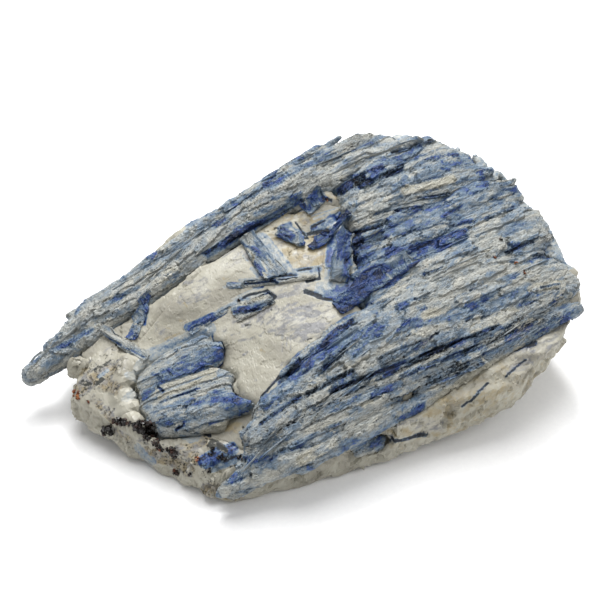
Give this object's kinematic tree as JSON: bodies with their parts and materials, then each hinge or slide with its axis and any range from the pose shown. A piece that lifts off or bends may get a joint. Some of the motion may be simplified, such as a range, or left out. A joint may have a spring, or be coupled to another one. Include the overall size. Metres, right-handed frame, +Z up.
{
  "type": "kyanite blade cluster",
  "caption": "Mineral specimen: long flat blue kyanite blades in near-parallel bundles, grown through a lump of milky quartz with dark mica at one corner.",
  "frame": {"origin": "under the middle of the specimen, on the surface it rests on", "axes": "+X along the blades from the pointed tip to the broken end, +Z up, +Y from the low near edge to the high far crest"},
  "size_m": [0.1362, 0.088, 0.047],
  "materials": {
    "kyanite": "vitreous to pearly grey-blue blades, striated along their length",
    "deep_kyanite": "vitreous deep blue blades, striated along their length",
    "quartz": "milky, greasy-lustred broken quartz with yellow-brown stains",
    "biotite": "black-brown mica flakes with pearly faces",
    "iron_oxide": "dull red-brown iron oxide grains"
  },
  "bodies": {
    "root": {"kyanite_blades": "kyanite", "left_blade_block": "kyanite", "deep_blue_blade": "deep_kyanite", "crossing_blade": "deep_kyanite", "embedded_blade_end": "deep_kyanite", "blue_sliver_blade": "deep_kyanite", "thin_edge_blade": "deep_kyanite", "pale_fan_blade": "kyanite", "small_wedge_blade": "deep_kyanite", "pocket_blade": "deep_kyanite", "upper_chip_blade": "deep_kyanite", "dark_wedge_blade": "deep_kyanite", "left_cross_blade": "deep_kyanite", "biotite_cluster": "biotite", "biotite_chain": "biotite", "rusty_grains": "iron_oxide", "quartz_matrix": "quartz"}
  },
  "joints": []
}
